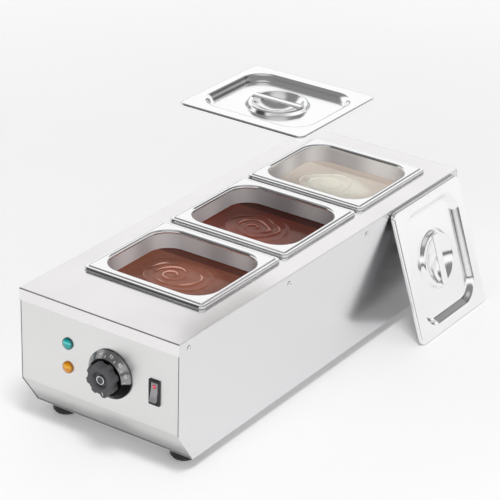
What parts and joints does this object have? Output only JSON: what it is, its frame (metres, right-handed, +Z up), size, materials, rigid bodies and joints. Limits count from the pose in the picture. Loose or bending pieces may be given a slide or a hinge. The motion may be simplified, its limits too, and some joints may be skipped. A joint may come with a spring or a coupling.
{
  "type": "chocolate tempering machine",
  "caption": "Table-top chocolate tempering machine in satin stainless steel, with lift-out pans, a thermostat dial, a rocker switch, pilot lamps and loose lids",
  "frame": {"origin": "On the table, under the middle of the whole object's box, lids as pictured", "axes": "+X to the right along the front, +Y from the dial side to the back, +Z up"},
  "size_m": [0.2952, 0.6608, 0.3393],
  "materials": {
    "satin_steel": "satin sheet",
    "polished_steel": "polished pressed sheet",
    "plain_steel": "plain mill finish",
    "dark_steel": "heat-darkened tube",
    "chrome": "bright chrome",
    "black_rubber": "matt moulded rubber",
    "black_plastic": "fine moulded grain",
    "grey_plastic": "fine moulded grain",
    "rocker_plastic": "smooth moulded",
    "white_plastic": "matt moulded",
    "copper": "drawn copper tube",
    "green_lens": "clear tinted lens",
    "orange_lens": "clear tinted lens",
    "red_lens": "clear tinted lens",
    "lead_cover": "smooth sleeve",
    "milk_chocolate": "glossy melt",
    "dark_chocolate": "glossy melt",
    "white_chocolate": "glossy melt"
  },
  "bodies": {
    "casing": {"top_cover": "satin_steel", "front_panel": "satin_steel", "side_panel_left": "satin_steel", "side_panel_right": "satin_steel", "rear_panel": "satin_steel", "bottom_plate": "plain_steel", "side_screw_left_1": "chrome", "side_screw_left_2": "chrome", "side_screw_left_3": "chrome", "side_screw_left_4": "chrome", "side_screw_right_1": "chrome", "side_screw_right_2": "chrome", "side_screw_right_3": "chrome", "side_screw_right_4": "chrome", "foot_core_front_left": "black_rubber", "foot_core_front_right": "black_rubber", "foot_core_rear_left": "black_rubber", "foot_core_rear_right": "black_rubber", "foot_sleeve_front_left": "chrome", "foot_sleeve_front_right": "chrome", "foot_sleeve_rear_left": "chrome", "foot_sleeve_rear_right": "chrome", "well_tank": "plain_steel", "heating_element": "dark_steel", "element_bar_front": "plain_steel", "element_bar_rear": "plain_steel", "sensor_bulb": "copper", "bulb_clip": "plain_steel", "capillary_tube": "copper", "thermostat_body": "white_plastic", "thermostat_screw_left": "chrome", "thermostat_screw_right": "chrome", "green_lamp_lens": "green_lens", "green_lamp_body": "black_plastic", "orange_lamp_lens": "orange_lens", "orange_lamp_body": "black_plastic", "switch_housing": "black_plastic", "overheat_cutout": "black_plastic", "terminal_block": "white_plastic", "lead_to_switch": "lead_cover", "lead_to_thermostat": "lead_cover", "lead_to_element": "lead_cover", "cable_gland": "black_plastic", "gland_locknut": "black_plastic"},
    "thermostat_knob": {"thermostat_shaft": "chrome", "dial_skirt": "black_plastic", "knob_grip": "grey_plastic", "knob_cap": "chrome"},
    "rocker": {"switch_rocker": "rocker_plastic", "switch_lens": "red_lens"},
    "front_pan": {"pan_front": "polished_steel", "chocolate_front": "milk_chocolate"},
    "middle_pan": {"pan_middle": "polished_steel", "chocolate_middle": "dark_chocolate"},
    "rear_pan": {"pan_rear": "polished_steel", "chocolate_rear": "white_chocolate"},
    "lid_over_pan": {"raised_lid": "polished_steel", "raised_lid_handle": "polished_steel"},
    "lid_at_side": {"leaning_lid": "polished_steel", "leaning_lid_handle": "polished_steel"}
  },
  "joints": [
    {"name": "thermostat_turn", "type": "hinge", "parent": "casing", "child": "thermostat_knob", "pos_m": [-0.01168, -0.3106, 0.106], "axis": [0, 1, 0], "range_deg": [0, 290]},
    {"name": "rocker_tip", "type": "hinge", "parent": "casing", "child": "rocker", "pos_m": [0.05182, -0.3073, 0.1035], "axis": [1, 0, 0], "range_deg": [0, 20]},
    {"name": "pan_front_lift", "type": "slide", "parent": "casing", "child": "front_pan", "axis": [0, 0, 1], "range_m": [0, 0.13]},
    {"name": "pan_middle_lift", "type": "slide", "parent": "casing", "child": "middle_pan", "axis": [0, 0, 1], "range_m": [0, 0.13]},
    {"name": "pan_rear_lift", "type": "slide", "parent": "casing", "child": "rear_pan", "axis": [0, 0, 1], "range_m": [0, 0.13]},
    {"name": "raised_lid_lift", "type": "slide", "parent": "middle_pan", "child": "lid_over_pan", "axis": [0.1038, 0, 0.9946], "range_m": [-0.158, 0.03]},
    {"name": "leaning_lid_lift", "type": "slide", "parent": "casing", "child": "lid_at_side", "axis": [0, 0, 1], "range_m": [0, 0.25]}
  ]
}
